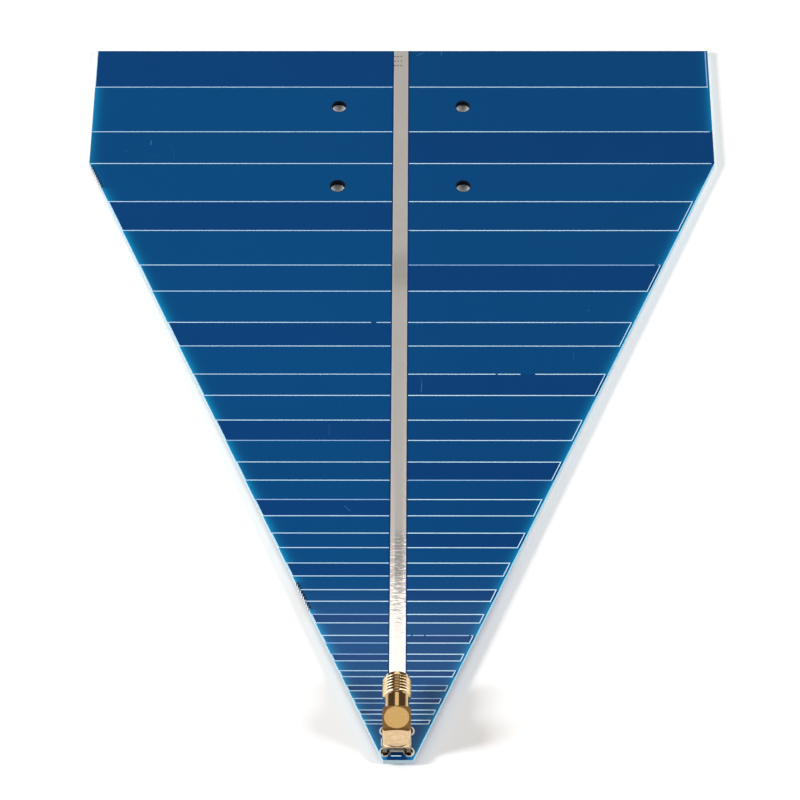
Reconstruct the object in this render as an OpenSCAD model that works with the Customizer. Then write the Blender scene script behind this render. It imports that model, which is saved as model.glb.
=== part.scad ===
// Printed log-periodic antenna: a tapered circuit board with dipoles etched on both faces,
// a tinned feeder strip down its middle and a right-angle coaxial jack at its tip.
// Millimetres. The origin is the middle of the four mounting holes on the board's underside.
// +Z points out of the jack's side, +Y towards the wide back edge and +X to the right.

/* [Board] */
// Width of the parallel back part
board_w = 150; // [130:1:180]
// Length from the back edge to the tip
board_l = 200; // [190:1:240]
// Length of the parallel part, from the back edge to the shoulders
shoulder_l = 35.8; // [30:0.1:45]
// Width of the cut-off tip
tip_w = 6.33; // [6.2:0.01:9]
// Finished thickness, with copper and solder mask
board_t = 1.6; // [0.8:0.1:3.2]
// Sideways error of the routed outline against the artwork
rout_shift = 0.26; // [-0.3:0.01:0.3]

/* [Mounting holes] */
// Hole spacing across the board
hole_dx = 30; // [20:0.5:60]
// Hole spacing along the board
hole_dy = 25; // [23:0.5:27]
// Hole diameter, clear for a 3 mm screw
hole_d = 3.4; // [2.6:0.1:4.4]
// Bare ring that the solder mask leaves round each hole
hole_ring = 0.2; // [0.16:0.01:0.4]
// Distance from the back edge to the middle of the four holes
hole_setback = 30.4; // [29.5:0.1:31.5]

/* [Dipole elements] */
// Number of elements
element_n = 20; // [12:1:20]
// Ratio of one element's distance from the apex to the distance before it
tau = 0.8812; // [0.875:0.0001:0.885]
// Distance of the series' apex beyond the tip
apex_lead = 9; // [8.5:0.1:12]
// Distance from the back edge to the start of the series
series_setback = 7; // [5:0.1:9]
// Depth of the first element, measured from the back edge
first_element_l = 11.76; // [8:0.01:14]
// Element width over its distance from the apex, elements near the back
back_share = 0.056; // [0.04:0.001:0.07]
// Element width over its distance from the apex, elements in the middle
middle_share = 0.0595; // [0.04:0.0005:0.07]
// Element width over its distance from the apex, elements near the tip
tip_share = 0.0495; // [0.04:0.0005:0.065]
// Number of elements in the back group
back_group = 6; // [2:1:8]
// Number of elements in the middle group
middle_group = 6; // [1:1:8]
// Pull-back of the copper's ends from the artwork's outline
edge_gap = 0.32; // [0.31:0.01:1]

/* [Feeder] */
// Width of the bare tinned strip
strip_w = 3.6; // [3:0.1:4.4]
// Overlap of the solder mask onto each side of the copper strip
mask_overlap = 0.2; // [0.05:0.05:0.4]
// Width of the underside strip where it passes between the jack's legs
neck_w = 1.6; // [1:0.1:1.8]
// Clearance between the underside strip and the jack's pads
pad_clearance = 0.5; // [0.3:0.05:0.8]
// Columns of shorting vias at the back end of the strip
via_cols = 3; // [2:1:3]
// Rows of shorting vias
via_rows = 3; // [2:1:5]
// Via spacing across the strip
via_dx = 0.76; // [0.7:0.01:0.8]
// Sideways place of the middle column of vias
via_shift = -0.76; // [-0.8:0.01:0.8]
// Via spacing along the strip
via_dy = 1.45; // [0.8:0.05:2]
// Finished via diameter
via_d = 0.35; // [0.3:0.05:0.45]
// Distance from the back edge to the first row of vias
via_setback = 1.85; // [1:0.05:4]

/* [Layers] */
// Thickness of the etched copper
copper_t = 0.035; // [0.018:0.001:0.07]
// Thickness of the solder mask over the copper
mask_t = 0.025; // [0.015:0.001:0.04]
// Thickness of the levelled tin on the bare copper
tin_t = 0.03; // [0.01:0.001:0.05]
// Thickness of the screen-printed lines
print_t = 0.02; // [0.01:0.001:0.04]
// Width of the screen-printed lines
print_w = 0.2; // [0.15:0.01:0.5]
// Gap between the printed lines and the copper strip
print_gap = 0.05; // [0:0.05:1]
// Length of the printed marks at the jack's sides
side_mark_l = 2; // [1:0.1:3]
// Length of the printed mark at the jack's front
front_mark_l = 2.2; // [1:0.1:2.4]
// Width of the jack's marks
mark_w = 0.2; // [0.15:0.01:0.5]
// Gap between the block and the marks beside it
side_mark_gap = 0.13; // [0.05:0.01:0.4]
// Gap between the block and the mark in front of it
front_mark_gap = 0.36; // [0.2:0.01:0.6]
// Sideways error of the marks
mark_shift = -0.17; // [-0.3:0.01:0.3]
// Error of the marks towards the tip
mark_drop = 0.16; // [-0.3:0.01:0.3]
// Wall thickness of the plated holes
plating_t = 0.04; // [0.02:0.005:0.06]

/* [Break-off rows] */
// Number of half-round bites in each row
bite_n = 9; // [4:1:12]
// Spacing of the bites along the edge
bite_pitch = 0.86; // [0.7:0.01:1]
// Diameter of the bites
bite_d = 0.5; // [0.3:0.05:0.6]
// Distance along the left taper from the shoulder to the upper row
upper_bites = 1.2; // [0.5:0.1:6]
// Distance along the left taper from the shoulder to the lower row
lower_bites = 130.9; // [20:0.1:140]

/* [Jack block] */
// Distance from the tip edge to the middle of the jack
jack_setback = 4.5; // [4.4:0.1:6]
// Side of the square block
block_w = 6; // [5.9:0.05:6.6]
// Cut across the block's upright corners
corner_cut = 0.45; // [0.1:0.05:0.6]
// Height of the block with its base plate
block_h = 7.75; // [7.4:0.05:9]
// Height of the base plate above the board
block_lift = 2.35; // [0.5:0.05:3]
// Thickness of the square base plate
base_t = 0.6; // [0.4:0.05:0.8]
// Diameter of the turned top face
top_d = 5.3; // [5:0.05:5.8]
// Slope of the turned edge round the top face, in degrees
top_slope = 25; // [10:1:35]
// Diameter of the turned foot that stands on the base plate
foot_d = 5.4; // [5:0.05:5.8]
// Slope of the turned edge above the foot, in degrees
foot_slope = 45; // [20:1:55]
// Leg spacing, both ways
leg_pitch = 5.08; // [5:0.01:5.08]
// Side of each square leg
leg_w = 0.9; // [0.8:0.02:0.92]
// Length of each leg below the board
leg_out = 1.3; // [1:0.1:2]

/* [Jack barrel] */
// Height of the barrel's axis above the board
axis_h = 6.6; // [6.3:0.05:7]
// Diameter of the plain neck and of the spigot pressed into the block
neck_d = 5.2; // [5:0.05:5.4]
// Length of the neck outside the block
neck_l = 4.05; // [2:0.05:6]
// Length of the spigot inside the block
spigot_l = 1.4; // [0.8:0.1:1.6]
// Outside diameter of the thread
thread_d = 6.2; // [6.1:0.05:6.35]
// Length of the thread
thread_l = 3.8; // [3:0.1:6]
// Length of the sloped runout at each end of the thread
thread_runout = 0.3; // [0.1:0.05:0.4]
// Diameter of the plain lead-in at the open end
lead_d = 5.3; // [5.2:0.05:5.5]
// Length of the lead-in
lead_l = 1; // [0.5:0.1:1.5]
// Bore of the open end, where the plug goes
mouth_d = 4.6; // [4.55:0.05:4.7]
// Depth of the open end down to the insulator
mouth_l = 1.9; // [1.5:0.1:2.2]

/* [Insulators and contact] */
// Diameter of the insulator in the barrel
insulator_d = 4.1; // [3.8:0.05:4.2]
// Diameter of the insulator round the pin
pin_insulator_d = 3.6; // [3.2:0.05:3.7]
// Room kept free round the soldered joint of contact and pin
joint_room = 1.3; // [1.1:0.05:1.35]
// Diameter of the contact and of the pin
contact_d = 1.27; // [1.1:0.01:1.3]
// Hole in the contact for the plug's pin
contact_bore = 0.92; // [0.85:0.01:0.95]
// Depth of that hole
contact_bore_l = 3; // [2:0.1:4]
// Width of the slots that split the contact's mouth
contact_slot = 0.2; // [0.1:0.05:0.25]
// Depth of those slots
contact_slot_l = 2.2; // [1:0.1:2.8]
// Diameter of the contact's tail in the pin's cross hole
tail_d = 0.7; // [0.5:0.05:0.8]

/* [Solder] */
// Finished diameter of the holes for legs and pin
pad_hole_d = 1.8; // [1.45:0.05:1.85]
// Diameter of the tinned pads round those holes
pad_d = 2.45; // [2.2:0.05:2.5]
// Diameter of the pad round the pin on the underside
pin_pad_d = 2.3; // [2:0.05:2.6]
// Clear diameter in the upper strip round the pin
antipad_d = 2.6; // [2.3:0.1:2.8]
// Depth of the solder's top below the board's upper face
solder_sink = 0.6; // [0.2:0.05:0.7]
// Height of the solder cones below the board
solder_out = 0.95; // [0.6:0.05:0.98]
// Margin of bare pad round the solder cones
solder_margin = 0.1; // [0.05:0.01:0.2]
// Thickness of the solder at the cones' tips
solder_skin = 0.08; // [0.05:0.01:0.15]

/* [Hidden] */
$fn = 48;
small_fn = 24;
over = 1;
tiny = 0.01;

// Places along the board
back_y = hole_setback;
tip_y = back_y - board_l;
shoulder_y = back_y - shoulder_l;
taper = (board_w - tip_w) / 2 / (shoulder_y - tip_y);
taper_deg = atan(taper);
jack_y = tip_y + jack_setback;
apex_y = tip_y - apex_lead;
series_l = board_l + apex_lead - series_setback;

// Heights of the layers
film_t = copper_t + mask_t;
laminate_z = film_t;
laminate_t = board_t - 2 * film_t;
front_copper_z = laminate_z + laminate_t;
front_mask_z = front_copper_z + copper_t;
front_tin_z = front_mask_z + tin_t;
back_tin_z = mask_t - tin_t;

// Heights and lengths of the jack
block_z = board_t + block_lift;
foot_z = block_z + base_t;
block_top_z = block_z + block_h;
axis_z = board_t + axis_h;
block_back_y = jack_y + block_w / 2;
barrel_start_y = block_back_y - spigot_l;
thread_y = block_back_y + neck_l;
lead_y = thread_y + thread_l;
mouth_y = lead_y + lead_l;
seat_y = mouth_y - mouth_l;
turn_r = block_w / sqrt(2) + over;

// Breaks worn in the printed lines: element, then place and length as shares of the line on that side
print_breaks = [[3, 0.98, 0.013], [4, -0.11, 0.022], [5, 0.47, 0.011], [5, 0.62, 0.072],
                [13, 0.185, 0.024], [13, 0.353, 0.024], [13, 0.939, 0.024]];

// Half the artwork's width at a distance along the board
function half_at(y) = y >= shoulder_y ? board_w / 2 : tip_w / 2 + (y - tip_y) * taper;

// Distance of an element's middle from the apex, and its two edges along the board
function reach(n) = series_l * pow(tau, n);
function share(n) = n < back_group ? back_share : n < back_group + middle_group ? middle_share : tip_share;
function tip_edge(n) = n == 0 ? back_y - first_element_l : apex_y + reach(n) * (1 - share(n) / 2);
function back_edge(n) = n == 0 ? back_y - edge_gap : apex_y + reach(n) * (1 + share(n) / 2);

// Outline of the stretch of board between two lines, from the middle to a margin inside one edge
function right_stretch(low, high, margin) = concat(
    [[0, low], [half_at(low) - margin, low]],
    low < shoulder_y && high > shoulder_y ? [[half_at(shoulder_y) - margin, shoulder_y]] : [],
    [[half_at(high) - margin, high], [0, high]]);
function mirrored(points) = [for (i = [len(points) - 1:-1:0]) [-points[i][0], points[i][1]]];
function stretch(side, low, high, margin) =
    side > 0 ? right_stretch(low, high, margin) : mirrored(right_stretch(low, high, margin));

// The routed outline with its break-off bites and mounting holes
module board_area() {
    difference() {
        translate([rout_shift, 0])
            polygon([[-tip_w / 2, tip_y], [tip_w / 2, tip_y],
                     [board_w / 2, shoulder_y], [board_w / 2, back_y],
                     [-board_w / 2, back_y], [-board_w / 2, shoulder_y]]);
        bite_row(upper_bites);
        bite_row(lower_bites);
        mounting_holes(hole_d);
    }
}

module mounting_holes(d) {
    for (x = [-1, 1], y = [-1, 1])
        translate([x * hole_dx / 2, y * hole_dy / 2]) circle(d = d);
}

module bite_row(start) {
    translate([rout_shift - board_w / 2, shoulder_y])
        rotate(taper_deg)
            for (i = [0:bite_n - 1])
                translate([0, -start - i * bite_pitch]) circle(d = bite_d, $fn = small_fn);
}

module at_legs() {
    for (x = [-1, 1], y = [-1, 1])
        translate([x * leg_pitch / 2, jack_y + y * leg_pitch / 2]) children();
}

module at_vias() {
    first_x = via_shift - (via_cols - 1) / 2 * via_dx;
    for (i = [0:via_cols - 1], j = [0:via_rows - 1])
        translate([first_x + i * via_dx, back_y - via_setback - j * via_dy]) children();
}

module at_pin() {
    translate([0, jack_y]) children();
}

// Holes drilled for plating
module drills() {
    at_legs() circle(d = pad_hole_d + 2 * plating_t);
    at_pin() circle(d = pad_hole_d + 2 * plating_t);
    at_vias() circle(d = via_d + 2 * plating_t, $fn = small_fn);
}

// The upper strip runs under the jack to its front legs, clear of the pin
module front_strip(w) {
    end_y = jack_y - leg_pitch / 2;
    difference() {
        translate([-w / 2, end_y]) square([w, back_y - end_y]);
        at_pin() circle(d = antipad_d);
    }
}

// The lower strip narrows between the legs and ends at the pin
module back_strip(w, neck, pin_pad) {
    neck_y = jack_y + leg_pitch / 2 + pad_d / 2 + pad_clearance;
    translate([-w / 2, neck_y]) square([w, back_y - neck_y]);
    translate([-neck / 2, jack_y]) square([neck, neck_y - jack_y + tiny]);
    at_pin() circle(d = pin_pad);
}

// Elements lie left and right of the strip in turn; the other face has the other halves
module elements(first_side) {
    for (n = [0:element_n - 1])
        polygon(stretch(n % 2 == 0 ? first_side : -first_side, tip_edge(n), back_edge(n), edge_gap));
}

module leg_pads() {
    at_legs() circle(d = pad_d);
}

module front_window() {
    front_strip(strip_w);
    leg_pads();
}

module back_window() {
    back_strip(strip_w, neck_w, pin_pad_d);
    leg_pads();
}

module front_pattern() {
    front_strip(strip_w + 2 * mask_overlap);
    leg_pads();
    elements(-1);
}

module back_pattern() {
    back_strip(strip_w + 2 * mask_overlap, neck_w + 2 * mask_overlap, pin_pad_d + 2 * mask_overlap);
    leg_pads();
    elements(1);
}

// What the solder mask covers: the board but for a ring round each mounting hole
module masked_area() {
    difference() {
        board_area();
        mounting_holes(hole_d + 2 * hole_ring);
    }
}

// A flat layer of the board with every plated hole left open
module layer(z, t) {
    translate([0, 0, z])
        linear_extrude(t)
            difference() {
                intersection() {
                    children();
                    board_area();
                }
                drills();
            }
}

module laminate() {
    color("lightcyan")
        layer(laminate_z, laminate_t) board_area();
}

module front_copper() {
    color("chocolate")
        layer(front_copper_z, copper_t) front_pattern();
}

module back_copper() {
    color("chocolate")
        layer(mask_t, copper_t) back_pattern();
}

module front_mask() {
    color("midnightblue") {
        layer(front_copper_z, copper_t) difference() {
            masked_area();
            front_pattern();
        }
        layer(front_mask_z, mask_t) difference() {
            masked_area();
            front_window();
        }
    }
}

module back_mask() {
    color("midnightblue") {
        layer(mask_t, copper_t) difference() {
            masked_area();
            back_pattern();
        }
        layer(0, mask_t) difference() {
            masked_area();
            back_window();
        }
    }
}

module front_tin() {
    color("silver")
        layer(front_mask_z, tin_t) front_window();
}

module back_tin() {
    color("silver")
        layer(back_tin_z, tin_t) back_window();
}

// Printed outline of one element on one side: both long edges, and the end where there is room.
// The second element's ends and the first one's back edge stay bare.
module element_outline(n, side) {
    grow = print_w / 2;
    outer_margin = n == 1 ? edge_gap + grow : edge_gap - grow;
    inner_margin = n == 1 ? edge_gap - grow : edge_gap + grow;
    outer_high = n == 0 ? back_y : back_edge(n) + grow;
    inner_high = n == 0 ? back_y + over : back_edge(n) - grow;
    difference() {
        polygon(stretch(side, tip_edge(n) - grow, outer_high, outer_margin));
        polygon(stretch(side, tip_edge(n) + grow, inner_high, inner_margin));
        square([strip_w + 2 * (mask_overlap + print_gap), 2 * board_l], center = true);
    }
}

// A worn gap in the back line of an element
module print_break(n, place, length) {
    line_l = half_at(back_edge(n));
    translate([place * line_l, back_edge(n)])
        square([length * line_l, 2 * print_w], center = true);
}

// Marks at the jack's sides and front
module jack_marks() {
    side_x = block_w / 2 + side_mark_gap;
    front_y = block_w / 2 + front_mark_gap;
    translate([mark_shift, jack_y - mark_drop]) {
        for (x = [-side_x, side_x])
            translate([x, 0]) square([mark_w, side_mark_l], center = true);
        translate([0, -front_y]) square([front_mark_l, mark_w], center = true);
    }
}

module front_print() {
    color("white")
        layer(board_t, print_t) {
            difference() {
                for (n = [0:element_n - 1], side = [-1, 1])
                    element_outline(n, side);
                for (b = print_breaks)
                    if (b[0] < element_n)
                        print_break(b[0], b[1], b[2]);
            }
            jack_marks();
        }
}

// A plated hole reaches from tin to tin
module plated_tube(d) {
    translate([0, 0, back_tin_z])
        difference() {
            cylinder(d = d + 2 * plating_t, h = front_tin_z - back_tin_z);
            translate([0, 0, -over]) cylinder(d = d, h = front_tin_z - back_tin_z + 2 * over);
        }
}

module pad_plating() {
    color("silver") {
        at_legs() plated_tube(pad_hole_d);
        at_pin() plated_tube(pad_hole_d);
    }
}

module via_plating() {
    color("silver")
        at_vias() plated_tube(via_d, $fn = small_fn);
}

// Corners of a square of half width h with a cut across each corner
function cut_square(h, c) = [[h - c, -h], [h, c - h], [h, h - c], [h - c, h],
                             [c - h, h], [-h, h - c], [-h, c - h], [c - h, -h]];

// Turns a profile of radius against length about the barrel's axis
module along_barrel(y) {
    translate([0, y, axis_z]) rotate([-90, 0, 0]) children();
}

// Square block: both ends of its body are turned to a cone that runs out past the corners,
// and it stands on a square plate with a leg at each corner
module jack_block() {
    top_drop = (turn_r - top_d / 2) * tan(top_slope);
    foot_rise = (turn_r - foot_d / 2) * tan(foot_slope);
    bore_top_z = axis_z + joint_room;
    color("goldenrod")
        difference() {
            union() {
                at_pin() intersection() {
                    translate([0, 0, foot_z])
                        linear_extrude(block_top_z - foot_z) polygon(cut_square(block_w / 2, corner_cut));
                    rotate_extrude()
                        polygon([[0, foot_z - tiny], [foot_d / 2, foot_z - tiny], [foot_d / 2, foot_z],
                                 [turn_r, foot_z + foot_rise], [turn_r, block_top_z - top_drop],
                                 [top_d / 2, block_top_z], [0, block_top_z]]);
                }
                at_pin() translate([-block_w / 2, -block_w / 2, block_z]) cube([block_w, block_w, base_t]);
                at_legs() translate([-leg_w / 2, -leg_w / 2, -leg_out])
                    cube([leg_w, leg_w, block_z + leg_out + base_t / 2]);
            }
            along_barrel(barrel_start_y) cylinder(d = neck_d, h = spigot_l + over);
            along_barrel(jack_y - joint_room) cylinder(d = insulator_d, h = block_w);
            at_pin() translate([0, 0, block_z - over])
                cylinder(d = pin_insulator_d, h = bore_top_z - block_z + over);
        }
}

// Barrel: spigot, neck, thread drawn at its outside diameter, and a plain lead-in
module jack_barrel() {
    thread_at = thread_y - barrel_start_y;
    lead_at = lead_y - barrel_start_y;
    mouth_at = mouth_y - barrel_start_y;
    seat_at = seat_y - barrel_start_y;
    color("gold")
        along_barrel(barrel_start_y)
            rotate_extrude()
                polygon([[insulator_d / 2, 0], [neck_d / 2, 0], [neck_d / 2, thread_at - thread_runout],
                         [thread_d / 2, thread_at], [thread_d / 2, lead_at],
                         [lead_d / 2, lead_at + thread_runout], [lead_d / 2, mouth_at],
                         [mouth_d / 2, mouth_at], [mouth_d / 2, seat_at], [insulator_d / 2, seat_at]]);
}

module barrel_insulator() {
    start_y = jack_y + joint_room;
    color("ivory")
        along_barrel(start_y) difference() {
            cylinder(d = insulator_d, h = seat_y - start_y);
            translate([0, 0, -over]) cylinder(d = contact_d, h = seat_y - start_y + 2 * over);
        }
}

// The lower insulator ends below the barrel's spigot
module block_insulator() {
    top_z = axis_z - neck_d / 2;
    color("ivory")
        at_pin() translate([0, 0, block_z]) difference() {
            cylinder(d = pin_insulator_d, h = top_z - block_z);
            translate([0, 0, -over]) cylinder(d = contact_d, h = top_z - block_z + 2 * over);
        }
}

// Contact: a split socket at the mouth and a thin tail in the pin's cross hole
module socket_contact() {
    body_y = jack_y + contact_d / 2;
    color("gold")
        difference() {
            union() {
                along_barrel(body_y) cylinder(d = contact_d, h = seat_y - body_y);
                along_barrel(jack_y - contact_d / 2) cylinder(d = tail_d, h = contact_d + tiny);
            }
            along_barrel(seat_y - contact_bore_l) cylinder(d = contact_bore, h = contact_bore_l + over);
            for (turn = [0, 90])
                along_barrel(seat_y - contact_slot_l) rotate(turn)
                    translate([-contact_d, -contact_slot / 2, 0])
                        cube([2 * contact_d, contact_slot, contact_slot_l + over]);
        }
}

module board_pin() {
    color("gold")
        difference() {
            at_pin() translate([0, 0, -leg_out])
                cylinder(d = contact_d, h = axis_z + contact_d / 2 + leg_out);
            along_barrel(jack_y - contact_d) cylinder(d = tail_d, h = 2 * contact_d);
        }
}

// Solder: fills the hole to its rise and draws out below into a hollow cone
module solder_joint(wire_r, ring_d) {
    cone_r = ring_d / 2 - solder_margin;
    hollow_r = cone_r - wire_r - solder_skin;
    hollow_h = solder_out + back_tin_z;
    hollow_step = 15;
    solder_top_z = board_t - solder_sink;
    rotate_extrude()
        polygon(concat(
            [[0, -solder_out]],
            [for (a = [0:hollow_step:90]) [cone_r - hollow_r * cos(a), -solder_out + hollow_h * sin(a)]],
            [[pad_hole_d / 2, back_tin_z], [pad_hole_d / 2, solder_top_z], [0, solder_top_z]]));
}

module leg_solder(x, y) {
    color("gainsboro")
        translate([x * leg_pitch / 2, jack_y + y * leg_pitch / 2])
            difference() {
                solder_joint(leg_w / sqrt(2), pad_d);
                translate([-leg_w / 2, -leg_w / 2, -leg_out - over])
                    cube([leg_w, leg_w, leg_out + board_t + over]);
            }
}

module pin_solder() {
    color("gainsboro")
        at_pin() difference() {
            solder_joint(contact_d / 2, pin_pad_d);
            translate([0, 0, -leg_out - over]) cylinder(d = contact_d, h = leg_out + board_t + over);
        }
}

laminate();
front_copper();
back_copper();
front_mask();
back_mask();
front_tin();
back_tin();
front_print();
pad_plating();
via_plating();
jack_block();
jack_barrel();
barrel_insulator();
block_insulator();
socket_contact();
board_pin();
leg_solder(-1, 1);  // leg_solder_back_left
leg_solder(1, 1);  // leg_solder_back_right
leg_solder(-1, -1);  // leg_solder_tip_left
leg_solder(1, -1);  // leg_solder_tip_right
pin_solder();
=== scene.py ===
import math

import bpy
import numpy as np
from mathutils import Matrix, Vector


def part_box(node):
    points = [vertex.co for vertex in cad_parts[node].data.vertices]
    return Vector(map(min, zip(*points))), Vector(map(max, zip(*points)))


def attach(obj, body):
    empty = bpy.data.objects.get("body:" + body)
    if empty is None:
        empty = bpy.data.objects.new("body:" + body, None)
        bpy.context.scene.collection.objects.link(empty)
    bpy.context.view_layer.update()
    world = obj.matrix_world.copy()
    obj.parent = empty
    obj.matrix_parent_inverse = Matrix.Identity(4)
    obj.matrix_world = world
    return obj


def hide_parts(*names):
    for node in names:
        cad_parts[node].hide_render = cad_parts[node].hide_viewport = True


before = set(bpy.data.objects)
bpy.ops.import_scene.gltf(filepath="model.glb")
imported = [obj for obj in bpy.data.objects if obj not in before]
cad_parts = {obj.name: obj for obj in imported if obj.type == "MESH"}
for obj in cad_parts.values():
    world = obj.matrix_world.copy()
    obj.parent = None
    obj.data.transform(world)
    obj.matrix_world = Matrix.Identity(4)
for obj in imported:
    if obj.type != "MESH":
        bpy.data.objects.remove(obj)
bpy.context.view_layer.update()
MM = 0.001


# The board itself: glass cloth pressed with epoxy, routed to a trapezium with a cut-off tip. Its cut
# edge is bare, pale and a little see-through; the light leaking out of it is a painted glow, most on
# the right, where the edge is also given a painted lit colour. The foot of the edge is painted pale
# in the light on the left and dark in the shade on the right. The drilled holes are painted dark
# inside as shade, and so are the notches of the bites where it was broken out of its panel.
class Value:
    """A number or colour worked out at each point of a surface; arithmetic on it adds Math nodes."""

    def __init__(self, finish, socket):
        self.finish = finish
        self.socket = socket

    def __add__(self, other):
        return self.finish.math("ADD", self, other)

    def __radd__(self, other):
        return self.finish.math("ADD", other, self)

    def __sub__(self, other):
        return self.finish.math("SUBTRACT", self, other)

    def __rsub__(self, other):
        return self.finish.math("SUBTRACT", other, self)

    def __mul__(self, other):
        return self.finish.math("MULTIPLY", self, other)

    def __rmul__(self, other):
        return self.finish.math("MULTIPLY", other, self)

    def __truediv__(self, other):
        return self.finish.math("DIVIDE", self, other)

    def __rtruediv__(self, other):
        return self.finish.math("DIVIDE", other, self)

    def __pow__(self, other):
        return self.finish.math("POWER", self, other)

    def __rpow__(self, other):
        return self.finish.math("POWER", other, self)

    def __abs__(self):
        return self.finish.math("ABSOLUTE", self)

    def __gt__(self, other):
        return self.finish.math("GREATER_THAN", self, other)

    def __lt__(self, other):
        return self.finish.math("LESS_THAN", self, other)


class Finish:
    """One material: a Principled surface, and the nodes that vary it over the part."""

    def __init__(self, name):
        self.material = bpy.data.materials.new(name)
        self.material.use_nodes = True
        self.tree = self.material.node_tree
        self.tree.nodes.clear()
        self.shader = self.tree.nodes.new("ShaderNodeBsdfPrincipled")
        output = self.tree.nodes.new("ShaderNodeOutputMaterial")
        self.tree.links.new(self.shader.outputs["BSDF"], output.inputs["Surface"])
        in_metres = self.node("ShaderNodeTexCoord", output="Object")
        inputs = {"Vector": in_metres, "Scale": 1 / MM}
        self.place = self.node("ShaderNodeVectorMath", {"operation": "SCALE"}, inputs)
        split = self.node("ShaderNodeSeparateXYZ", inputs={"Vector": self.place})
        self.x, self.y, self.z = (Value(self, s) for s in split.socket.node.outputs)

    def node(self, kind, settings=None, inputs=None, output=0):
        """Makes a node: first its settings, then its sockets, each a number, a colour or a Value."""
        made = self.tree.nodes.new(kind)
        for name, setting in (settings or {}).items():
            setattr(made, name, setting)
        for name, value in (inputs or {}).items():
            self.feed(made.inputs[name], value)
        return Value(self, made.outputs[output])

    def feed(self, socket, value):
        """Links a Value to a socket, or sets the socket's own number or colour."""
        if isinstance(value, Value):
            self.tree.links.new(value.socket, socket)
        elif isinstance(value, (tuple, list)) and socket.type == "RGBA":
            socket.default_value = (*value, 1.0)
        else:
            socket.default_value = value

    def math(self, operation, *values):
        """One Math node on these numbers."""
        return self.node("ShaderNodeMath", {"operation": operation}, dict(enumerate(values)))

    def least(self, one, two):
        """The lesser of two numbers."""
        return self.math("MINIMUM", one, two)

    def most(self, one, two):
        """The greater of two numbers."""
        return self.math("MAXIMUM", one, two)

    def ramp(self, value, start, end):
        """Goes smoothly from 0 at start to 1 at end, whichever of the two is the greater."""
        inputs = {"Value": value, "From Min": start, "From Max": end}
        return self.node("ShaderNodeMapRange", {"interpolation_type": "SMOOTHSTEP"}, inputs)

    def mix(self, share, one, two):
        """Goes from colour one to colour two as share goes from 0 to 1."""
        return self.node("ShaderNodeMix", {"data_type": "RGBA"}, {0: share, 6: one, 7: two}, output=2)

    def noise(self, scale, detail=2.0, stretch=(1.0, 1.0, 1.0)):
        """Smooth noise from 0 to 1; scale is in grains to the millimetre along each stretched axis."""
        inputs = {0: self.place, 1: stretch}
        place = self.node("ShaderNodeVectorMath", {"operation": "MULTIPLY"}, inputs)
        inputs = {"Vector": place, "Scale": scale, "Detail": detail}
        return self.node("ShaderNodeTexNoise", None, inputs)

    def bump(self, height, strength, depth):
        """A Normal tilted by a height that runs from 0 to 1, depth being its size in millimetres."""
        inputs = {"Height": height, "Strength": strength, "Distance": depth * MM}
        return self.node("ShaderNodeBump", None, inputs)

    def surface(self, **inputs):
        """Sets the Principled shader's sockets; a name is the socket's, with _ for each space."""
        for name, value in inputs.items():
            self.feed(self.shader.inputs[name.replace("_", " ")], value)
        return self.material


def dress(material, *nodes):
    """Gives a material to every slot of these frame nodes."""
    for node in nodes:
        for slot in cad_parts[node].material_slots:
            slot.material = material


board_low, board_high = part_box("laminate")
back_y = board_high.y / MM
tip_y = board_low.y / MM
board_w = (board_high.x - board_low.x) / MM
rout_shift = (board_high.x + board_low.x) / 2 / MM
board_t = 1.6
shoulder_l = 35.8
shoulder_y = back_y - shoulder_l
tip_w = 6.33
taper = (board_w - tip_w) / 2 / (shoulder_y - tip_y)
taper_cos = math.cos(math.atan(taper))
hole_dx = 30.0
hole_dy = 25.0
hole_r = 1.7
hole_wall = 0.02
bare_ring = 0.4
bite_rows = (1.2, 130.9)
bite_n = 9
bite_pitch = 0.86
row_l = (bite_n - 1) * bite_pitch
row_margin = 0.4
notch_lean = 0.8
notch_skin = 0.035
tip_face = 0.05
lit_x = 5.0
foot_z = (1.0, 0.4)
narrow_y = (-115.0, -150.0)
leak_z = (0.3, 1.2)

cloth_dark = (0.235, 0.47, 0.62)
cloth_pale = (0.34, 0.60, 0.75)
lit_glass = (0.10, 0.44, 0.60)
left_foot_lit = (0.56, 0.67, 0.74)
right_foot_shade = (0.34, 0.58, 0.70)
narrow_glass = (0.24, 0.40, 0.48)
tip_glass = (0.32, 0.43, 0.49)
ring_glass = (0.010, 0.045, 0.12)
hole_shade_glass = (0.002, 0.004, 0.010)
row_glass = (0.86, 0.90, 0.92)
notch_shade_glass = (0.012, 0.012, 0.014)
leak_low = (0.07, 0.10, 0.12)
leak_high = (0.0, 0.20, 0.30)
unlit = (0.0, 0.0, 0.0)


def edge_inset(f):
    """Distance in from the routed side: the half width at a point's y, less how far aside it lies.

    The half width is the taper's until it reaches the back part's. The cosine of the taper turns the
    distance across the board into one square to the slanting edge.
    """
    half = f.least(board_w / 2, tip_w / 2 + (f.y - tip_y) * taper)
    return (half - abs(f.x - rout_shift)) * taper_cos


def torn_edge(f):
    """Inset from the routed side, 1 along the two rows of bites, and the way to the nearest notch.

    A row starts at its distance from the shoulder, measured down the left edge. The painted shade of
    a notch starts at a bite and leans back towards the shoulder as it runs in.
    """
    inset = edge_inset(f)
    along = (shoulder_y - f.y) / taper_cos
    in_row, beside = 0.0, 1.0
    for start in bite_rows:
        row = (abs(along - start - row_l / 2) < row_l / 2 + row_margin) * (f.x < 0)
        to_notch = f.math("PINGPONG", along - start + notch_lean * inset, bite_pitch / 2)
        in_row = in_row + row
        beside = beside + row * (to_notch - 1)
    return inset, in_row, beside


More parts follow.
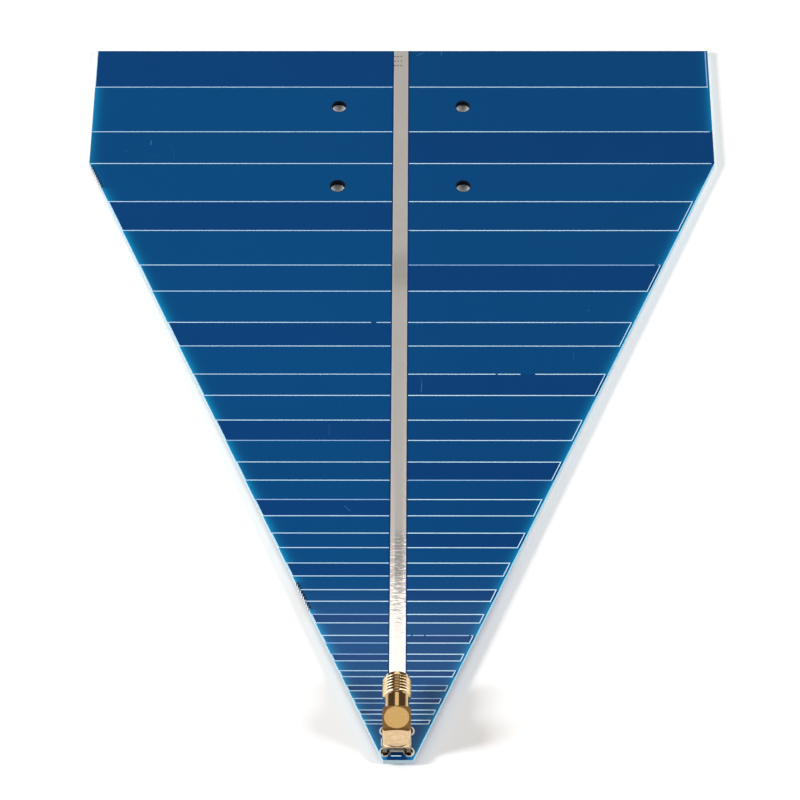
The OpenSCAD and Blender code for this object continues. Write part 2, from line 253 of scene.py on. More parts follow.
glass = Finish("routed_glass_epoxy")
hole_x = abs(glass.x) - hole_dx / 2
hole_y = abs(glass.y) - hole_dy / 2
hole_d2 = hole_x * hole_x + hole_y * hole_y
# Painted shade: the wall inside each drilled hole is coloured near black.
in_hole = hole_d2 < (hole_r + hole_wall) ** 2
near_hole = hole_d2 < (hole_r + bare_ring) ** 2
at_tip = glass.y < tip_y + tip_face
lit_side = glass.x > lit_x
glass_inset, glass_row, _ = torn_edge(glass)
# Painted shade on the walls of the notches along the rows of bites.
shaded_notch = glass_row * (glass_inset > notch_skin)
cloth = glass.noise(scale=1.0, detail=3.0, stretch=(0.6, 0.6, 9.0))
edge_glass = glass.mix(cloth, cloth_dark, cloth_pale)
# Painted light: the cut edge on the right is given a lit colour.
edge_glass = glass.mix(0.5 * lit_side, edge_glass, lit_glass)
# Painted light and shade at the foot of the cut edge: pale grey in the light on the left, darker in the
# shade on the right.
foot_light_and_shade = glass.mix(lit_side, left_foot_lit, right_foot_shade)
edge_glass = glass.mix(glass.ramp(glass.z, *foot_z), edge_glass, foot_light_and_shade)
edge_glass = glass.mix(0.25 * glass.ramp(glass.y, *narrow_y), edge_glass, narrow_glass)
edge_glass = glass.mix(0.9 * at_tip, edge_glass, tip_glass)
edge_glass = glass.mix(near_hole, edge_glass, ring_glass)
edge_glass = glass.mix(0.8 * glass_row, edge_glass, row_glass)
edge_glass = glass.mix(shaded_notch, edge_glass, notch_shade_glass)
# Painted light: a glow on the cut edge stands for light leaking through the glass. It is strongest on
# the right and at the top of the edge, and left off at the holes, the notches and the tip.
leaks = (1 - near_hole) * (1 - shaded_notch) * (1 - at_tip) * (0.3 + 0.7 * lit_side)
leak_colour = glass.mix(glass.ramp(glass.z, *leak_z), leak_low, leak_high)
dress(glass.surface(
    Base_Color=glass.mix(in_hole, edge_glass, hole_shade_glass),
    Roughness=0.55,
    Specular_IOR_Level=0.15,
    Emission_Color=glass.mix(leaks, unlit, leak_colour),
    Emission_Strength=1.0,
    Normal=glass.bump(cloth, strength=0.5, depth=0.05),
), "laminate")


# The copper of both faces: foil bonded to the glass and etched to the feeder strip and the half
# elements. It lies under the mask and the tin, and shows only where they stop.
clean_copper = (0.62, 0.31, 0.17)
brown_copper = (0.45, 0.20, 0.11)
copper = Finish("etched_copper")
tarnish = copper.noise(scale=0.4, detail=4.0)
dress(copper.surface(
    Base_Color=copper.mix(tarnish, clean_copper, brown_copper),
    Metallic=1.0,
    Roughness=0.35 + 0.2 * tarnish,
), "front_copper", "back_copper")


# Solder mask: a glossy blue lacquer, screened on and cured. It is darker where copper lies under it
# on its own face, a little darker over copper on the far face, and painted with light from the cut
# edge elsewhere. It is torn at the bites, where painted shade marks their notches, and scratched in
# places. Painted shade lies beside the strip and under the front of the jack's block, and more of it
# to the right and across the middle of the taper.
series_l = 202.0
tau = 0.8812
apex_l = 9.0
apex_y = tip_y - apex_l
element_n = 20
group_ends = (5.5, 11.5)
group_shares = (0.056, 0.0595, 0.0495)
first_element_l = 11.76
first_element_y = back_y - first_element_l
strip_copper_r = 2.0
strip_shade = 0.15
edge_leak = 0.95
leak_power = 1.2
left_leak = 0.78
right_leak = 0.54
shoulder_dim_y = (shoulder_y - 9, shoulder_y - 4)
shoulder_dim_end_y = shoulder_y + 3
mask_shade_x = (-15.0, 15.0)
mask_shade_y = -97.0
mask_shade_l = (25.0, 12.0)
torn_film = (0.22, 0.14)
upper_row_y = shoulder_y - 20
notch_shade_w = (0.31, 0.23)
notch_shade_l = (0.8, 0.55)
block_front_shade_y = tip_y + 1.6
block_front_shade_l = (0.5, 0.35)
block_front_shade_w = (1.9, 1.5)
scratch_r = 0.1

mask_bare = (0.0013, 0.0615, 0.196)
mask_far = (0.0015, 0.0575, 0.187)
mask_near = (0.0018, 0.0465, 0.172)
mask_strip_shade = (0.003, 0.022, 0.095)
mask_cloudy = (0.008, 0.085, 0.24)
mask_shade_colour = (0.002, 0.010, 0.090)
mask_lit = (0.006, 0.27, 0.54)
mask_torn = (0.22, 0.38, 0.50)
mask_notch_shade = (0.003, 0.010, 0.018)
mask_block_front_shade = (0.002, 0.012, 0.03)
mask_scratched = (0.06, 0.21, 0.46)

# Each scratch runs straight from one x and y to another, and has its own brightness.
scratches = [
    (-60.1, 1.6, -60.3, 0.2, 0.7),
    (-66.6, -1.5, -65.4, -1.8, 0.2),
    (-60.9, -2.9, -57.4, -3.5, 0.09),
    (-55.6, 0.9, -54.6, -1.5, 0.08),
    (-54.5, -1.5, -54.6, -4.0, 0.12),
    (-8.3, -0.1, -8.2, -0.7, 0.15),
    (5.0, -69.2, 5.2, -71.0, 0.2),
    (5.2, -71.0, 5.0, -73.4, 0.5),
    (40.1, -62.0, 40.1, -64.2, 0.15),
    (43.7, -49.8, 44.0, -50.0, 0.7),
    (-15.8, -82.3, -15.8, -85.5, 0.16),
    (-12.0, -104.7, -10.7, -106.1, 0.4),
    (-8.3, -143.8, -8.0, -143.9, 0.3),
    (3.8, 28.9, 5.5, 29.8, 0.5),
    (10.0, 30.3, 9.8, 28.9, 0.5),
]


def element_share(number):
    """Width of an element over its distance from the apex: each of the three groups has its own."""
    wide, middle, narrow = group_shares
    share = wide + (middle - wide) * (number > group_ends[0])
    return share + (narrow - middle) * (number > group_ends[1])


def lacquer(name, near_side):
    """Blue mask over the dipoles: near_side is 0 where the even elements of the face lie to the left.

    The number of the element nearest to a point is the logarithm of its distance from the apex to
    base tau, rounded; the point is over that element if the distance differs from the element's own
    by less than half the element's share of it. The painted light from the cut edge dies away with e
    to the power of minus a power of the inset.
    """
    f = Finish(name)
    right = f.x > 0
    reach = f.most(f.y - apex_y, 1.0)
    number = f.math("ROUND", f.math("LOGARITHM", reach / series_l, tau))
    number = f.least(f.most(number, 0.0), element_n - 1.0)
    off = abs(reach / (series_l * tau ** number) - 1)
    first = number < 0.5
    over = (1 - first) * (off < element_share(number) / 2) + first * (f.y > first_element_y)
    other_side = abs(f.math("MODULO", number, 2.0) - right)
    near = abs(other_side - (1 - near_side))
    strip = abs(f.x) < strip_copper_r
    near_copper = f.most(over * near, strip)
    far_copper = f.most(over * (1 - near), strip)

    inset, in_row, beside = torn_edge(f)
    leak = math.e ** (-1 * (f.most(inset, 0.0) / edge_leak) ** leak_power)
    leak = leak * (1 - near_copper) * (1 - 0.4 * far_copper)
    leak = leak * (left_leak - (left_leak - right_leak) * right)
    at_shoulder = right * f.ramp(f.y, *shoulder_dim_y) * (f.y < shoulder_dim_end_y)
    leak = leak * (1 - 0.7 * in_row) * (1 - 0.85 * at_shoulder)

    colour = f.mix(far_copper, mask_bare, mask_far)
    colour = f.mix(near_copper, colour, mask_near)
    # Painted shade: a dark line on the mask along each side of the strip.
    colour = f.mix(0.6 * (abs(f.x) < strip_copper_r + strip_shade), colour, mask_strip_shade)
    cloud = f.noise(scale=0.06, detail=3.0)
    colour = f.mix(0.12 * cloud, colour, mask_cloudy)
    # Painted shade: the mask is darker towards the right and across the middle of the taper.
    mask_shading = 0.03 + 0.09 * f.ramp(f.x, *mask_shade_x) + 0.06 * f.ramp(abs(f.y - mask_shade_y), *mask_shade_l)
    colour = f.mix(mask_shading, colour, mask_shade_colour)
    colour = f.mix(leak, colour, mask_lit)
    colour = f.mix(in_row * f.ramp(inset, *torn_film), colour, mask_torn)
    # Painted shade: dark strokes on the mask at the notches of the bites, wider in the upper row.
    upper = f.y > upper_row_y
    notch_shade = f.ramp(beside + 0.03 * upper, *notch_shade_w) * f.ramp(inset + 0.1 * upper, *notch_shade_l)
    colour = f.mix(notch_shade, colour, mask_notch_shade)
    # Painted shade on the mask under the front edge of the jack's block.
    block_front_shade = f.ramp(abs(f.y - block_front_shade_y), *block_front_shade_l) * f.ramp(abs(f.x), *block_front_shade_w)
    colour = f.mix(0.75 * block_front_shade, colour, mask_block_front_shade)
    if near_side == 0:
        for x0, y0, x1, y1, bright in scratches:
            length = math.hypot(x1 - x0, y1 - y0)
            ux, uy = (x1 - x0) / length, (y1 - y0) / length
            along = (f.x - x0) * ux + (f.y - y0) * uy
            across = abs((f.y - y0) * ux - (f.x - x0) * uy)
            mark = (across < scratch_r) * (abs(along - length / 2) < length / 2) * bright
            colour = f.mix(mark, colour, mask_scratched)
    peel = f.noise(scale=0.9, detail=2.0)
    return f.surface(
        Base_Color=colour,
        Roughness=0.065 + 0.02 * cloud,
        Specular_IOR_Level=0.195,
        Normal=f.bump(peel, strength=0.04, depth=0.01),
    )


dress(lacquer("front_blue_lacquer", 0), "front_mask")
dress(lacquer("back_blue_lacquer", 1), "back_mask")


# Tin: the bare strip and the pads were dipped in molten tin and levelled by hot air, which leaves
# a bright skin with long shallow waves, duller in patches and grainy along the sides towards the
# tip. The strip's rounded rim has a painted highlight, brighter on the left, and a painted shade
# runs along its outer edge. Its end under the jack is painted with shade, lifted to painted light
# near the front of the block.
side_middle_x = -0.2
side_x = (0.8, 1.7)
frost_y = (-40.0, -125.0)
frost_grain = (0.25, 0.6)
ripple_y = -119.0
ripple_l = (12.0, 4.0)
dull_y = -38.0
dull_l = (9.0, 1.0)
patch_x = 0.4
patch_w = (1.5, 0.9)
patch_y = -118.5
patch_l = (8.5, 4.5)
stripe_x = (-0.6, -0.9)
stripe_y = (-85.0, -112.0)
rim_x = (1.45, 1.65)
tin_edge_shade_x = (1.70, 1.77)
under_block_shade_y = (tip_y + 8.5, tip_y + 6.5)
under_block_shade_r = 2.2
under_block_light_y = (tip_y + 2.9, tip_y + 2.2)
under_block_light_x = (1.6, 1.3)
pad_end_y = tip_y + 9
pad_x = 1.9

tin_trough = (0.75, 0.715, 0.68)
tin_crest = (0.83, 0.805, 0.78)
tin_dull = (0.05, 0.05, 0.05)
tin_frosted = (0.98, 0.98, 0.97)
tin_stripe = (0.98, 0.93, 0.91)
tin_rim_highlight = (1.0, 0.98, 0.97)
tin_edge_shade = (0.03, 0.06, 0.12)
tin_under_block_shade = (0.16, 0.17, 0.14)
tin_under_block_light = (0.78, 0.84, 0.78)
tin_pad = (0.68, 0.71, 0.72)

tin = Finish("levelled_tin")
waves = tin.noise(scale=0.35, detail=3.0, stretch=(1.0, 0.6, 1.0))
ridges = tin.noise(scale=1.7, detail=2.0, stretch=(0.3, 1.0, 1.0))
grain = tin.noise(scale=3.0, detail=4.0, stretch=(1.0, 0.4, 1.0))
frosted = tin.ramp(abs(tin.x - side_middle_x), *side_x) * tin.ramp(tin.y, *frost_y)
rippled = tin.ramp(abs(tin.y - ripple_y), *ripple_l)
patch = tin.ramp(abs(tin.y - patch_y), *patch_l) * tin.ramp(abs(tin.x - patch_x), *patch_w)
dull = tin.ramp(abs(tin.y - dull_y), *dull_l) + 1.5 * patch
left_stripe = tin.ramp(tin.x, *stripe_x) * tin.ramp(tin.y, *stripe_y)
# Painted highlight on the strip's rounded rim, brighter on the left.
rim_highlight = tin.ramp(abs(tin.x), *rim_x) * (0.35 + 0.3 * (tin.x < 0))
# Painted shade on the strip's end under the jack's block, lifted to painted light near the block's front
# edge, where light reaches in under it.
under_block_shade = tin.ramp(tin.y, *under_block_shade_y) * (abs(tin.x) < under_block_shade_r)
under_block_light = tin.ramp(tin.y, *under_block_light_y) * tin.ramp(abs(tin.x), *under_block_light_x)
pads = (tin.y < pad_end_y) * (abs(tin.x) > pad_x)
tin_colour = tin.mix(waves, tin_trough, tin_crest)
tin_colour = tin.mix(0.22 * dull, tin_colour, tin_dull)
tin_colour = tin.mix(frosted * tin.ramp(grain, *frost_grain), tin_colour, tin_frosted)
tin_colour = tin.mix(0.8 * left_stripe, tin_colour, tin_stripe)
tin_colour = tin.mix(rim_highlight, tin_colour, tin_rim_highlight)
# Painted shade along the strip's outer edge.
tin_colour = tin.mix(tin.ramp(abs(tin.x), *tin_edge_shade_x), tin_colour, tin_edge_shade)
tin_colour = tin.mix(under_block_shade, tin_colour, tin.mix(under_block_light, tin_under_block_shade, tin_under_block_light))
dress(tin.surface(
    Base_Color=tin.mix(pads, tin_colour, tin_pad),
    Metallic=0.55,
    Roughness=0.035 + 0.03 * grain + 0.2 * pads,
    Normal=tin.bump(0.8 * waves + (0.2 + 0.4 * rippled) * ridges, strength=1.0, depth=0.03),
), "front_tin", "back_tin")


# White screen print: the outline of each dipole and the marks round the jack, a thin matt ink pressed
# through a screen. It lies thinner on the left, and a few lines have worn to a faint blue.
jack_marks_y = tip_y + 8
bold_y = (-85.0, -105.0)
thin_noise = (0.75, 0.3)
line_r = 0.2
worn_end_x = board_w / 2 - 2.5
worn_end_y = first_element_y + 0.3
ink_full = (0.60, 0.86, 1.0)
ink_thin = (0.28, 0.48, 0.78)

# A faint line is named by its element, the element's edge (1 is the back one) and its side (1 is right).
faint_lines = [
    (3, 1, 1), (6, -1, -1), (7, -1, 1), (8, 1, -1), (12, 1, -1), (13, -1, -1),
    (13, 1, 1), (14, 1, -1), (16, 1, 1), (17, -1, -1), (17, 1, 1),
]

ink = Finish("white_screen_print")
speck = ink.noise(scale=2.5, detail=3.0)
thin = ink.ramp(ink.noise(scale=1.0, detail=2.0, stretch=(0.03, 0.35, 1.0)), *thin_noise)
bold = ink.ramp(ink.y, *bold_y) * (ink.x > 0)
thin = (0.28 * thin + 0.16 * (ink.x < 0)) * (ink.y > jack_marks_y) * (1 - 0.7 * bold)
for number, edge, side in faint_lines:
    line_y = apex_y + series_l * tau ** number * (1 + edge * element_share(number) / 2)
    thin = thin + 0.8 * (abs(ink.y - line_y) < line_r) * (ink.x * side > 0)
thin = thin + 0.9 * (ink.x > worn_end_x) * (ink.y > worn_end_y)
dress(ink.surface(
    Base_Color=ink.mix(thin + 0.1 * speck, ink_full, ink_thin),
    Roughness=0.5,
    Normal=ink.bump(speck, strength=0.3, depth=0.02),
), "front_print")


# The jack's block: brass, sawn from square bar, turned at both ends and flashed with gold, on a
# plate with four legs. The turning left fine rings on its top and a dull cone round it, whose front
# has a painted dark reflection; the lower edge of the face has a painted highlight, and the plate is
# painted bright as a highlight where it shows at the corners and dark with shade where it meets
# the foot.
jack_y = tip_y + 4.5
axis_z = 8.2
block_r = 3.0
corner_cut = 0.5
foot_r = 2.7
plate_z = 4.55
block_top_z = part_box("jack_block")[1].z / MM
top_skin = 0.03
wall_skin = 0.02
cone_z = axis_z + 2.5
cone_front_y = (jack_y - 2.2, jack_y - 2.7)
lip_z = plate_z + 0.05
lip_w = (0.2, 0.08)
lip_x = (1.2, 0.7)
rubbed_noise = (0.55, 0.7)
ring_wave = 60.0
plate_shade_r = (3.1, 3.35)

top_gold = (1.0, 0.66, 0.255)
rubbed_gold = (1.0, 0.77, 0.34)
cone_gold = (0.94, 0.60, 0.25)
cone_front_dark_reflection = (0.60, 0.33, 0.10)
lip_highlight_gold = (1.0, 0.95, 0.85)
plate_shade = (0.08, 0.05, 0.02)
plate_corner_highlight = (1.0, 0.90, 0.58)


def gilding(name, bright, brown):
    """Gold flash over brass: a finish, its colour clouded between two golds, and its fine grain."""
    f = Finish(name)
    clouded = f.ramp(f.noise(scale=0.9, detail=4.0), 0.3, 0.75)
    return f, f.mix(clouded, bright, brown), f.noise(scale=6.0, detail=3.0)


block, block_gold, block_grain = gilding("turned_gold_block", (0.78, 0.565, 0.34), (0.66, 0.46, 0.25))
aside = abs(block.x)
ahead = abs(block.y - jack_y)
from_pin = (aside * aside + ahead * ahead) ** 0.5
top = block.z > block_top_z - top_skin
inside = (block.most(aside, ahead) < block_r - wall_skin) * (aside + ahead < 2 * block_r - corner_cut)
cone = inside * (block.z > cone_z) * (1 - top)
plate = inside * (abs(block.z - plate_z) < wall_skin)
# Painted highlight along the lower edge of the front and back faces, above the foot.
lip_highlight = block.ramp(block.z - plate_z - from_pin + foot_r, *lip_w) * block.ramp(aside, *lip_x)
lip_highlight = lip_highlight * (1 - inside) * (block.z > lip_z)
rubbed = block.ramp(block.noise(scale=2.2, detail=3.0), *rubbed_noise)
rings = block.math("SINE", ring_wave * from_pin)
block_gold = block.mix(top, block_gold, block.mix(rubbed, top_gold, rubbed_gold))
# Painted dark reflection on the front of the cone.
cone_gold_and_reflection = block.mix(block.ramp(block.y, *cone_front_y), cone_gold, cone_front_dark_reflection)
block_gold = block.mix(cone, block_gold, cone_gold_and_reflection)
block_gold = block.mix(0.8 * lip_highlight, block_gold, lip_highlight_gold)
# Painted light and shade on the plate: dark near the foot, bright where it shows at the corners.
plate_light_and_shade = block.mix(block.ramp(from_pin, *plate_shade_r), plate_shade, plate_corner_highlight)
dress(block.surface(
    Base_Color=block.mix(plate, block_gold, plate_light_and_shade),
    Metallic=1 - 0.9 * plate,
    Roughness=0.22 + 0.08 * block_grain + 0.15 * top + 0.22 * cone + 0.25 * plate,
    Normal=block.bump(block_grain + 0.15 * top * rings, strength=0.06, depth=0.02),
), "jack_block")


# The barrel is turned brass with a fine outside thread, flashed with gold and pressed into the block.
# Its surface is drawn here with the real helix of the thread, a nominal quarter inch with 36 turns
# to the inch. Painted highlights make the crests shine to both sides of the middle and along it;
# painted shade darkens a band beside the middle, the lead-in at the mouth and the neck behind them.
thread_pitch = 25.4 / 36
thread_d = 6.2
thread_depth = 0.433
thread_flat = 0.08
neck_d = 5.2
lead_d = 5.3
mouth_d = 4.6
bore_d = 4.1
barrel_low, barrel_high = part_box("jack_barrel")
barrel_y = barrel_low.y / MM
mouth_y = barrel_high.y / MM
lead_l = 1.0
lead_y = mouth_y - lead_l
thread_l = 3.8
thread_y = lead_y - thread_l
seat_l = 1.9
seat_y = mouth_y - seat_l
runout = 0.3
rim = 0.08
glare_x = 1.75
glare_w = (0.8, 0.5)
shade_x = 0.95
shade_shift = 0.15
shade_w = (0.35, 0.2)
middle_x = (0.8, 0.6)
neck_side_x = (2.2, 2.0)

glare_gold = (1.0, 0.93, 0.80)
shade_gold = (0.35, 0.24, 0.11)
middle_highlight_gold = (1.0, 0.84, 0.54)
lead_shade_gold = (0.40, 0.28, 0.14)
neck_side_shade = (0.68, 0.46, 0.21)
neck_middle_shade = (0.46, 0.30, 0.13)


def barrel_surface(turn_n=96, ring_gap=0.02):
    """Closed surface of revolution round the barrel's axis, with a helix cut into its outside.

    The outline runs from the spigot along the outside to the mouth and back through the bore.
    On the outside the radius is the lesser of the turned outline and the thread, whose depth is a
    flattened triangle wave of the distance along the axis less the pitch times the share of a turn.
    """
    outside_y = np.arange(thread_y - runout, lead_y + runout, ring_gap)
    outside_r = np.interp(outside_y, [thread_y - runout, thread_y, lead_y, lead_y + runout],
                          [neck_d / 2, thread_d / 2, thread_d / 2, lead_d / 2])
    start = [[barrel_y, bore_d / 2], [barrel_y, neck_d / 2 - rim], [barrel_y + rim, neck_d / 2]]
    end = [[lead_y + runout, lead_d / 2], [mouth_y - rim, lead_d / 2], [mouth_y, lead_d / 2 - rim],
           [mouth_y, mouth_d / 2 + rim], [mouth_y - rim, mouth_d / 2], [seat_y, mouth_d / 2],
           [seat_y, bore_d / 2]]
    outline = np.vstack([start, np.column_stack([outside_y, outside_r]), end])
    ring_n = len(outline)
    y, r = outline[:, :1], outline[:, 1:]
    turn = np.linspace(0, 1, turn_n, endpoint=False)[None, :]
    phase = (y - thread_y) / thread_pitch - turn
    wave = np.abs(2 * (phase - np.floor(phase)) - 1)
    cut = thread_depth * np.clip((1 + 2 * thread_flat) * wave - thread_flat, 0, 1)
    ring_number = np.arange(ring_n)[:, None]
    threaded = (ring_number >= len(start)) & (ring_number < ring_n - len(end))
    radius = np.where(threaded, np.minimum(r, thread_d / 2 - cut), r)
    angle = 2 * np.pi * turn
    point_z = axis_z + radius * np.cos(angle)
    points = np.stack([radius * np.sin(angle), y + 0 * radius, point_z], axis=-1)
    ring, step = np.meshgrid(np.arange(ring_n), np.arange(turn_n), indexing="ij")
    ring, next_ring = ring * turn_n, (ring + 1) % ring_n * turn_n
    next_step = (step + 1) % turn_n
    corners = [ring + step, ring + next_step, next_ring + next_step, next_ring + step]
    return points.reshape(-1, 3) * MM, np.stack(corners, axis=-1).reshape(-1, 4)


def surface_object(name, points, faces, material, smooth_deg=35):
    """A mesh object at the origin from a grid of points, smooth but for edges sharper than an angle."""
    mesh = bpy.data.meshes.new(name)
    mesh.from_pydata(points.tolist(), [], faces.tolist())
    mesh.shade_smooth()
    mesh.set_sharp_from_angle(angle=math.radians(smooth_deg))
    mesh.materials.append(material)
    made = bpy.data.objects.new(name, mesh)
    bpy.context.scene.collection.objects.link(made)
    return made


turned, turned_gold, turned_grain = gilding("turned_gold_barrel", (0.90, 0.70, 0.43), (0.80, 0.58, 0.30))
neck = turned.y < thread_y - runout / 2
off_axis = abs(turned.x)
glare = turned.ramp(abs(off_axis - glare_x), *glare_w) * (0.6 - 0.35 * (turned.x > 0))
shade = turned.ramp(abs(off_axis - shade_x - shade_shift * (turned.x > 0)), *shade_w)
# Painted highlights on the crests to both sides of the middle, weaker on the right.
turned_gold = turned.mix(glare, turned_gold, glare_gold)
# Painted shade in a band beside the middle.
turned_gold = turned.mix(0.55 * shade, turned_gold, shade_gold)
# Painted highlight along the middle.
turned_gold = turned.mix(0.5 * turned.ramp(off_axis, *middle_x), turned_gold, middle_highlight_gold)
# Painted shade on the lead-in at the mouth.
turned_gold = turned.mix(0.5 * (turned.y > lead_y), turned_gold, lead_shade_gold)
# Painted shade on the neck behind the crests, deepest in the middle.
neck_shade_gold = turned.mix(turned.ramp(off_axis, *neck_side_x), neck_side_shade, neck_middle_shade)
barrel_gold = turned.surface(
    Base_Color=turned.mix(0.93 * neck, turned_gold, neck_shade_gold),
    Metallic=1.0,
    Roughness=0.07 + 0.08 * turned_grain,
    Normal=turned.bump(turned_grain, strength=0.06, depth=0.02),
)
barrel = surface_object("threaded_barrel", *barrel_surface(), barrel_gold)
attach(barrel, "root")
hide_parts("jack_barrel")


# Inside the barrel and the block: insulators of white fluoropolymer, pressed in, round a split
# contact and the pin that leads from it down to the board, both of brass flashed with gold.
insulator_white = (0.86, 0.86, 0.83)
insulator_grey = (0.78, 0.78, 0.75)
plastic = Finish("white_insulator")
dress(plastic.surface(
    Base_Color=plastic.mix(plastic.noise(scale=1.5, detail=2.0), insulator_white, insulator_grey),
    Roughness=0.45,
), "barrel_insulator", "block_insulator")
dress(barrel_gold, "socket_contact", "board_pin")


# The jack's holes and the vias are drilled and plated through. Seen from above they are painted as
# dark brown wells of shade, mottled, with a painted highlight on the rim.
well_rim_z = (board_t - 0.06, board_t)
well_shade_dark = (0.10, 0.065, 0.035)
well_shade_brown = (0.22, 0.15, 0.08)
well_rim_highlight = (0.85, 0.82, 0.76)
well = Finish("plated_well")
# Painted shade: the plating is coloured dark brown, mottled, as the inside of the wells.
well_mottle = well.noise(scale=2.0, detail=3.0)
# Painted highlight on the top edge of the plating.
dress(well.surface(
    Base_Color=well.mix(well.ramp(well.z, *well_rim_z), well.mix(well_mottle, well_shade_dark, well_shade_brown), well_rim_highlight),
    Metallic=0.6,
    Roughness=0.25,
), "pad_plating", "via_plating")


# Solder: each leg and the pin is held by a bright cone of solder on the underside, melted round it.
# Where it has risen into a hole it is painted dark brown for the shade there, with a few painted glints.
risen_z = (0.3, 0.6)
glint_noise = (0.52, 0.62)
skin_bright = (0.74, 0.74, 0.73)
skin_grey = (0.52, 0.52, 0.51)
risen_shade = (0.09, 0.06, 0.035)
risen_glint = (0.90, 0.74, 0.46)
solder = Finish("bright_solder")
skin = solder.noise(scale=1.2, detail=3.0)
glint = solder.ramp(solder.noise(scale=2.6, detail=2.0), *glint_noise)
skin_colour = solder.mix(skin, skin_bright, skin_grey)
# Painted shade and painted glints on the solder risen into the holes.
risen_shade_and_glint = solder.mix(glint, risen_shade, risen_glint)
solder_nodes = ["leg_solder_back_left", "leg_solder_back_right", "leg_solder_tip_left",
                "leg_solder_tip_right", "pin_solder"]
dress(solder.surface(
    Base_Color=solder.mix(solder.ramp(solder.z, *risen_z), skin_colour, risen_shade_and_glint),
    Metallic=0.9,
    Roughness=0.18 + 0.2 * skin,
    Normal=solder.bump(skin, strength=0.3, depth=0.05),
), *solder_nodes)


# The table: a white sheet. The board lies on its back edge and on the ends of the jack's legs, so the
# sheet slopes a little against the board's own frame. Near the board's edges the sheet is painted
# with a shade tinted by the board; a painted glow lies at the foot of the right edge, and under the
# holes the sheet is painted dim, with painted light at their sides. The sheet's glow is painted
# light that weakens towards the tip.
leg_pitch = 5.08
leg_w = 0.9
leg_row_y = jack_y + (leg_pitch + leg_w) / 2
leg_low_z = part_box("jack_block")[0].z / MM
back_low_z = min(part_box("back_tin")[0].z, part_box("back_mask")[0].z) / MM
table_slope = (leg_low_z - back_low_z) / (leg_row_y - back_y)
table_r = 2500.0
cover_inset = 5.0
cover_back_y = back_y - 6
edge_shade_end = 0.3
edge_shade_right_w = 4.0
edge_shade_left_more = 2.0
edge_shade_tip_y = (tip_y - 3, tip_y)
edge_shade_fade_l = 15.0
foot_w = (1.0, 0.3)
foot_y = (-135.0, -100.0)
hole_back = 1.2
hole_floor_r = (1.7, 0.4)
hole_side_r = (1.2, 1.8)
hole_side_end = 3.5
glow_y = (tip_y, -60.0)

sheet_white = (0.90, 0.90, 0.90)
left_edge_shade = (0.85, 0.872, 0.870)
right_edge_shade = (0.83, 0.835, 0.872)
hole_floor_shade = (0.2, 0.2, 0.2)
tip_glow = (0.055, 0.045, 0.045)
sheet_glow = (0.14, 0.14, 0.14)
foot_glow = (0.25, 0.26, 0.24)
hole_glow = (0.19, 0.26, 0.34)

reach_x = np.array([-1, 1, 1, -1]) * table_r
reach_y = np.array([-1, -1, 1, 1]) * table_r
table_z = back_low_z + (reach_y - back_y) * table_slope
table_corners = np.column_stack([reach_x, reach_y, table_z]) * MM

sheet = Finish("white_sheet")
rays = sheet.node("ShaderNodeLightPath").socket.node.outputs
seen = sheet.most(Value(sheet, rays["Is Camera Ray"]), Value(sheet, rays["Is Glossy Ray"]))
seen = sheet.most(seen, Value(sheet, rays["Is Transmission Ray"]))
right = sheet.x > 0
left = sheet.x < 0
before_back = sheet.y < back_y
beyond = 0 - edge_inset(sheet)
covered = (beyond < -cover_inset) * (sheet.y < cover_back_y)
# Painted shade near the board's edges, tinted by the board, wider on the left and fading behind the
# shoulder.
edge_shading = sheet.ramp(beyond, edge_shade_right_w + edge_shade_left_more * left, edge_shade_end)
edge_shading = edge_shading * sheet.ramp(sheet.y, *edge_shade_tip_y) * before_back
fade = sheet.ramp(sheet.y, shoulder_y - edge_shade_fade_l - edge_shade_fade_l * right, shoulder_y)
edge_shading = edge_shading * (1 - (1 - 0.3 * right) * fade)
# Painted light: a glow at the foot of the right edge stands for light through the glass.
at_foot = sheet.ramp(abs(beyond), *foot_w) * right * sheet.ramp(sheet.y, *foot_y) * before_back
beside_hole = abs(sheet.x) - hole_dx / 2
behind_hole = sheet.y + hole_dy / 2 - hole_dy * (sheet.y > 0) - hole_back
off_hole = (beside_hole * beside_hole + behind_hole * behind_hole) ** 0.5
# Painted shade on the sheet under the holes, with painted light at their sides.
under_hole = covered * sheet.ramp(off_hole, *hole_floor_r)
hole_side = covered * sheet.ramp(off_hole, *hole_side_r) * (off_hole < hole_side_end)
sheet_colour = sheet.mix(edge_shading * (1 - covered), sheet_white, sheet.mix(right, left_edge_shade, right_edge_shade))
# Painted light: the sheet's glow weakens towards the tip, so that shadows there come out deeper.
glow = sheet.mix(sheet.ramp(sheet.y, *glow_y), tip_glow, sheet_glow)
glow = sheet.mix(at_foot, glow, foot_glow)
glow = sheet.mix(hole_side, glow, hole_glow)
sheet.surface(
    Base_Color=sheet.mix(0.65 * under_hole, sheet_colour, hole_floor_shade),
    Roughness=1.0,
    Specular_IOR_Level=0.0,
    Emission_Color=sheet.mix(seen * (1 - covered + hole_side), unlit, glow),
    Emission_Strength=1.0,
)
table = surface_object("table", table_corners, np.array([[0, 1, 2, 3]]), sheet.material)


# Light: a dim warm room under a wide cool ceiling. A softbox overhead behind the board is mirrored by
# the tin and the gold, and two low panels in front by the jack. A narrow panel on either side throws
# the shadows, the left one being the stronger.
room_colour = (1.0, 0.82, 0.68, 1.0)
room_strength = 0.15
warm = (1.0, 0.985, 0.95)
cool = (0.90, 0.97, 1.0)
white = (1.0, 1.0, 1.0)
world = bpy.data.worlds.new("room")
bpy.context.scene.world = world
world.use_nodes = True
world.node_tree.nodes["Background"].inputs["Color"].default_value = room_colour
world.node_tree.nodes["Background"].inputs["Strength"].default_value = room_strength


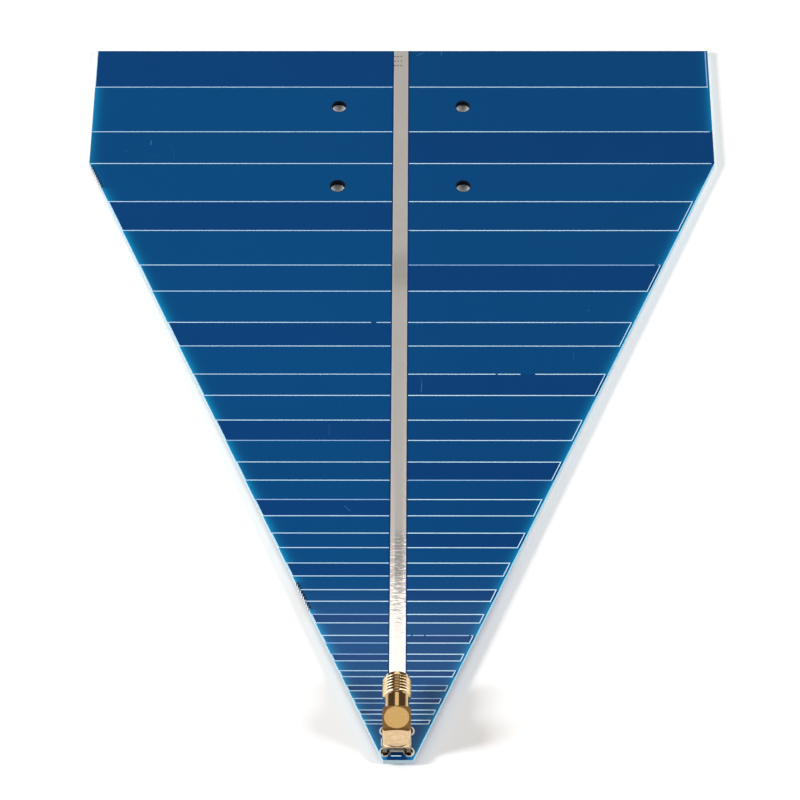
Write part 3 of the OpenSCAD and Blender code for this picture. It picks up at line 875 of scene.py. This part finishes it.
def panel(name, place, aim, width, length, power, colour, mirrored):
    """A rectangular lamp at a place, turned to a point, both in millimetres; gloss may mirror it."""
    lamp = bpy.data.lights.new(name, "AREA")
    lamp.shape = "RECTANGLE"
    lamp.size = width * MM
    lamp.size_y = length * MM
    lamp.energy = power
    lamp.color = colour
    made = bpy.data.objects.new(name, lamp)
    made.location = np.array(place) * MM
    turn = made.location - type(made.location)(np.array(aim) * MM)
    made.rotation_euler = turn.to_track_quat("Z", "Y").to_euler()
    made.visible_glossy = mirrored
    bpy.context.scene.collection.objects.link(made)


panel("softbox", (0, 235, 900), (0, 235, 0), 560, 410, 0.98, warm, True)
panel("front_left", (-680, -1020, 145), (0, -160, 145), 940, 280, 2.15, white, True)
panel("front_right", (680, -1020, 145), (0, -160, 145), 940, 280, 1.85, white, True)
panel("ceiling", (0, -700, 1150), (0, -60, 0), 1500, 1200, 3.7, cool, False)
panel("left_panel", (-1150, -400, 740), (0, -120, 0), 220, 380, 17.6, white, False)
panel("right_panel", (1000, -525, 715), (0, -120, 0), 300, 300, 8.7, white, False)


# Camera: a long lens above the tip, looking down along the strip. Its place, its tilt and its focal
# length, which is in pixels of the square picture, were fitted to the board's outline and holes.
view_elevation = math.radians(54.1558)
view_yaw = math.radians(-0.7317)
view_roll = math.radians(0.5555)
view_distance = 777.41
view_aim = np.array([0.2119, -75.5555, board_t])
focal_px = 3411.13
picture_px = 800
sensor_mm = 36.0
clip_start = 0.01

forward = np.array([math.sin(view_yaw) * math.cos(view_elevation),
                    math.cos(view_yaw) * math.cos(view_elevation), -math.sin(view_elevation)])
level = np.array([math.cos(view_yaw), -math.sin(view_yaw), 0.0])
upright = np.cross(level, forward)
camera_x = math.cos(view_roll) * level - math.sin(view_roll) * upright
camera_y = math.sin(view_roll) * level + math.cos(view_roll) * upright
pose = np.eye(4)
pose[:3, :3] = np.column_stack([camera_x, camera_y, -forward])
pose[:3, 3] = (view_aim - view_distance * forward) * MM
camera = bpy.data.objects.new("camera", bpy.data.cameras.new("camera"))
camera.data.sensor_width = sensor_mm
camera.data.lens = focal_px / picture_px * sensor_mm
camera.data.clip_start = clip_start
camera.matrix_world = pose.T
bpy.context.scene.collection.objects.link(camera)
bpy.context.scene.camera = camera
bpy.context.scene.view_settings.view_transform = "Standard"
